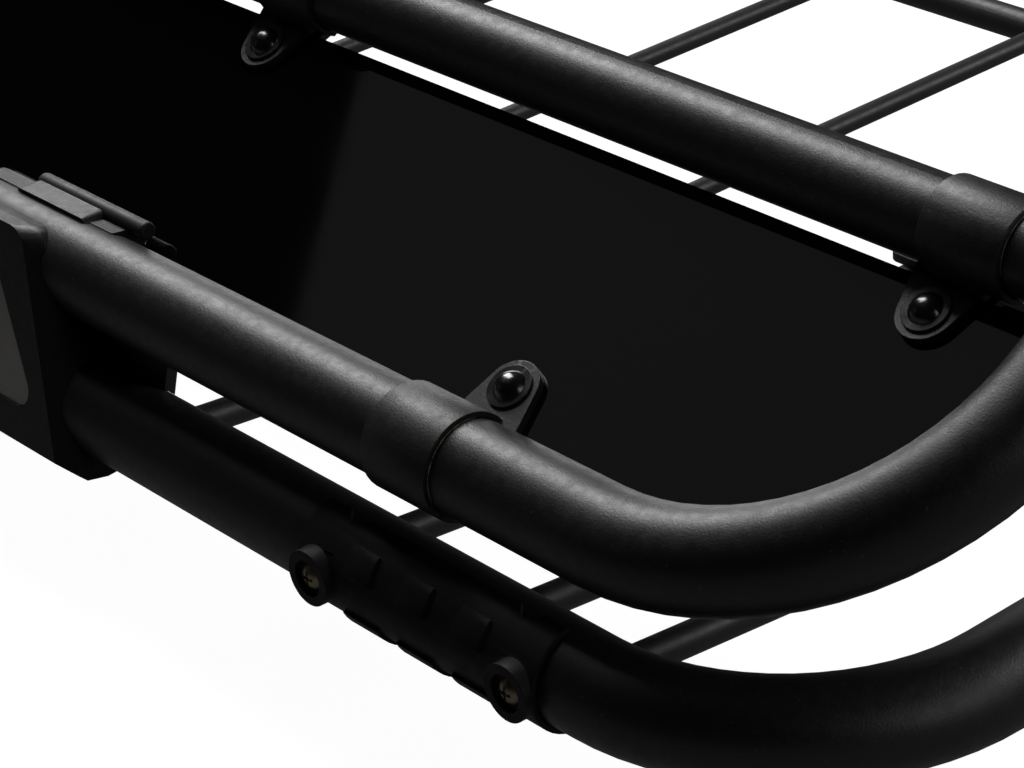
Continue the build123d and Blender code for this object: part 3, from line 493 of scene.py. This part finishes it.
def meet(start, direction, axis_at, axis_dir, radius):
    """Where a line first meets a round bar, or None."""
    offset = start - axis_at
    d = direction - axis_dir * direction.dot(axis_dir)
    o = offset - axis_dir * offset.dot(axis_dir)
    a = d.dot(d)
    b = 2 * d.dot(o)
    c = o.dot(o) - radius * radius
    inside = b * b - 4 * a * c
    if inside < 0 or a == 0:
        return None
    return start + direction * (-b - math.sqrt(inside)) / (2 * a)


def weld_ring(shell, start, direction, radius, bar_at, bar_dir, bar_radius, size, ripple):
    """Weld bead where a tube that runs from start along direction meets a bar; ripple is the pass pitch."""
    direction = direction.normalized()
    bar_dir = bar_dir.normalized()
    across = direction.orthogonal().normalized()
    other = direction.cross(across)
    points = []
    normals = []
    radii = []
    passes = max(8, round(2 * math.pi * radius / ripple))
    for i in range(RING_STEPS):
        angle = 2 * math.pi * i / RING_STEPS
        outward = across * math.cos(angle) + other * math.sin(angle)
        spot = meet(start + outward * radius, direction, bar_at, bar_dir, bar_radius)
        if spot is None:
            return
        points.append(spot + outward * size * 0.25 - direction * size * 0.2)
        normals.append(outward)
        radii.append(size * (0.86 + 0.16 * abs(math.sin(passes * angle / 2)) + random.uniform(-0.05, 0.05)))
    shell.sweep(points, normals, radii, True)


def post_ends(shell, foot, head, foot_rail_dir, head_rail_dir):
    """Weld a post to the rail at its foot and to the one at its head."""
    middle = (foot + head) / 2
    for end, other, rail_dir in ((foot, head, foot_rail_dir), (head, foot, head_rail_dir)):
        weld_ring(shell, middle, end - other, POST_R, end, rail_dir, RAIL_R, WELD_LARGE, WELD_PITCH_COARSE)


def post_welds():
    shell = Shell("post_welds")
    knee_y = (TOP_Z - NOSE_Z) / HOOP_DIR.z * HOOP_DIR.y + UPPER_NOSE_Y
    for low, high in solids("side_posts"):
        sign = 1 if low.x > 0 else -1
        y = (low.y + high.y) / 2
        foot = Vector((sign * LOWER_X, y, FLOOR_Z))
        head = Vector((sign * UPPER_X, y, TOP_Z))
        top_dir = ALONG_Y
        if y < knee_y:
            head.z = NOSE_Z + (y - UPPER_NOSE_Y) * HOOP_DIR.z / HOOP_DIR.y
            top_dir = HOOP_DIR
        post_ends(shell, foot, head, ALONG_Y, top_dir)
    for low, high in solids("rear_posts"):
        x = (low.x + high.x) / 2
        foot = Vector((x, LOWER_REAR_Y, FLOOR_Z))
        head = Vector((x, UPPER_REAR_Y, TOP_Z))
        post_ends(shell, foot, head, ALONG_X, ALONG_X)
    shell.finish(SLOT_MATERIALS["rod_black"], "rod_black")


def floor_welds():
    shell = Shell("floor_welds")
    rods = solids("floor_rods")
    crosses = solids("floor_cross_tubes")
    for low, high in crosses:
        radius = (high.z - low.z) / 2
        y = (low.y + high.y) / 2
        for sign in (-1, 1):
            rail = Vector((sign * LOWER_X, y, FLOOR_Z))
            start = Vector((sign * LOWER_X / 2, y, FLOOR_Z))
            outward = ALONG_X * sign
            weld_ring(shell, start, outward, radius, rail, ALONG_Y, RAIL_R, WELD_LARGE, WELD_PITCH_CROSS)
        for rod_low, rod_high in rods:
            rod_r = (rod_high.x - rod_low.x) / 2
            x = (rod_low.x + rod_high.x) / 2
            for sign in (-1, 1):
                start = Vector((x, y - sign * 0.05, FLOOR_Z))
                bar_at = Vector((x, y, FLOOR_Z))
                weld_ring(
                    shell, start, ALONG_Y * sign, rod_r, bar_at, ALONG_X, radius, WELD_SMALL, WELD_PITCH_FINE
                )
    for rod_low, rod_high in rods:
        x = (rod_low.x + rod_high.x) / 2
        rod_r = (rod_high.x - rod_low.x) / 2
        rail = Vector((x, LOWER_REAR_Y, FLOOR_Z))
        start = rail - ALONG_Y * 0.08
        weld_ring(shell, start, ALONG_Y, rod_r, rail, ALONG_X, RAIL_R, WELD_SMALL, WELD_PITCH_FINE)
    shell.finish(SLOT_MATERIALS["rod_black"], "rod_black")


def nose_welds():
    shell = Shell("nose_welds")
    tube_low, tube_high = node_box("front_floor_tube")
    tube_r = (tube_high.z - tube_low.z) / 2
    tube_at = (tube_low + tube_high) / 2
    for low, high in solids("front_struts"):
        x = (low.x + high.x) / 2
        radius = (high.x - low.x) / 2
        front = Vector((x, LOWER_NOSE_Y, FLOOR_Z))
        back = Vector((x, tube_at.y, tube_at.z))
        middle = (front + back) / 2
        nose_bead = WELD_SMALL * 1.2
        weld_ring(shell, middle, front - back, radius, front, ALONG_X, RAIL_R, nose_bead, WELD_PITCH_STRUT)
        weld_ring(shell, middle, back - front, radius, back, ALONG_X, tube_r, WELD_SMALL, WELD_PITCH_STRUT)
    low, high = node_box("top_front_tube")
    radius = (high.z - low.z) / 2
    middle = (low + high) / 2
    for sign in (-1, 1):
        rail = Vector((sign * UPPER_X, UPPER_NOSE_Y, NOSE_Z))
        outward = ALONG_X * sign
        weld_ring(shell, middle, outward, radius, rail, HOOP_DIR, RAIL_R, WELD_LARGE, WELD_PITCH_COARSE)
    shell.finish(SLOT_MATERIALS["rod_black"], "rod_black")


def dust_arc(shell, x_of, at_y, at_z, radius, low_angle, high_angle, size):
    """Thin line round a tube that runs along X; x_of gives its X at a height."""
    points = []
    normals = []
    for i in range(DUST_STEPS + 1):
        angle = math.radians(low_angle + (high_angle - low_angle) * i / DUST_STEPS)
        normal = Vector((0, -math.cos(angle), math.sin(angle)))
        points.append(Vector((x_of(at_z + radius * math.sin(angle)), at_y, at_z)) + normal * radius)
        normals.append(normal)
    ends = [math.sin(math.pi * i / DUST_STEPS) ** 0.4 for i in range(DUST_STEPS + 1)]
    shell.sweep(points, normals, [size * max(e, 0.15) * random.uniform(0.75, 1.25) for e in ends], False)


def edge_dust():
    shell = Shell("edge_dust")
    for low, high in solids("nose_clamp_uppers"):
        inner = low.x if low.x > 0 else high.x
        sign = 1 if low.x > 0 else -1
        for x, size in ((inner, DUST_LINE * 0.6), (inner + sign * CLAMP_WIDTH, DUST_LINE)):
            at = x + sign * (DUST_INSET if x != inner else -DUST_INSET)
            dust_arc(shell, lambda z, at=at: at, UPPER_NOSE_Y, NOSE_Z, RAIL_R + DUST_LIFT, -30, 105, size)
    tube_low, tube_high = node_box("top_front_tube")
    tube_r = (tube_high.z - tube_low.z) / 2
    for low, high in solids("top_clamp_uppers"):
        sign = 1 if low.x > 0 else -1
        outer = high.x if low.x > 0 else low.x
        for x in (outer - sign * CLAMP_WIDTH, outer):
            at = x + sign * (DUST_INSET if x == outer else -DUST_INSET)
            dust_arc(
                shell, lambda z, at=at: at, (tube_low.y + tube_high.y) / 2, (tube_low.z + tube_high.z) / 2,
                tube_r + DUST_LIFT, -20, 110, DUST_LINE * 0.55,
            )
    for sign in (-1, 1):
        dust_arc(
            shell, lambda z, sign=sign: sign * (CARRIER_LOW_X - CARRIER_TAPER * (z - CARRIER_LOW_Z)),
            UPPER_NOSE_Y, NOSE_Z, RAIL_R + 0.15 * MM, 0, 62, DUST_LINE,
        )
    shell.finish(DUST)


random.seed(11)
add_camera()
add_stage()
add_lights()
dress_nodes()
post_welds()
floor_welds()
nose_welds()
edge_dust()
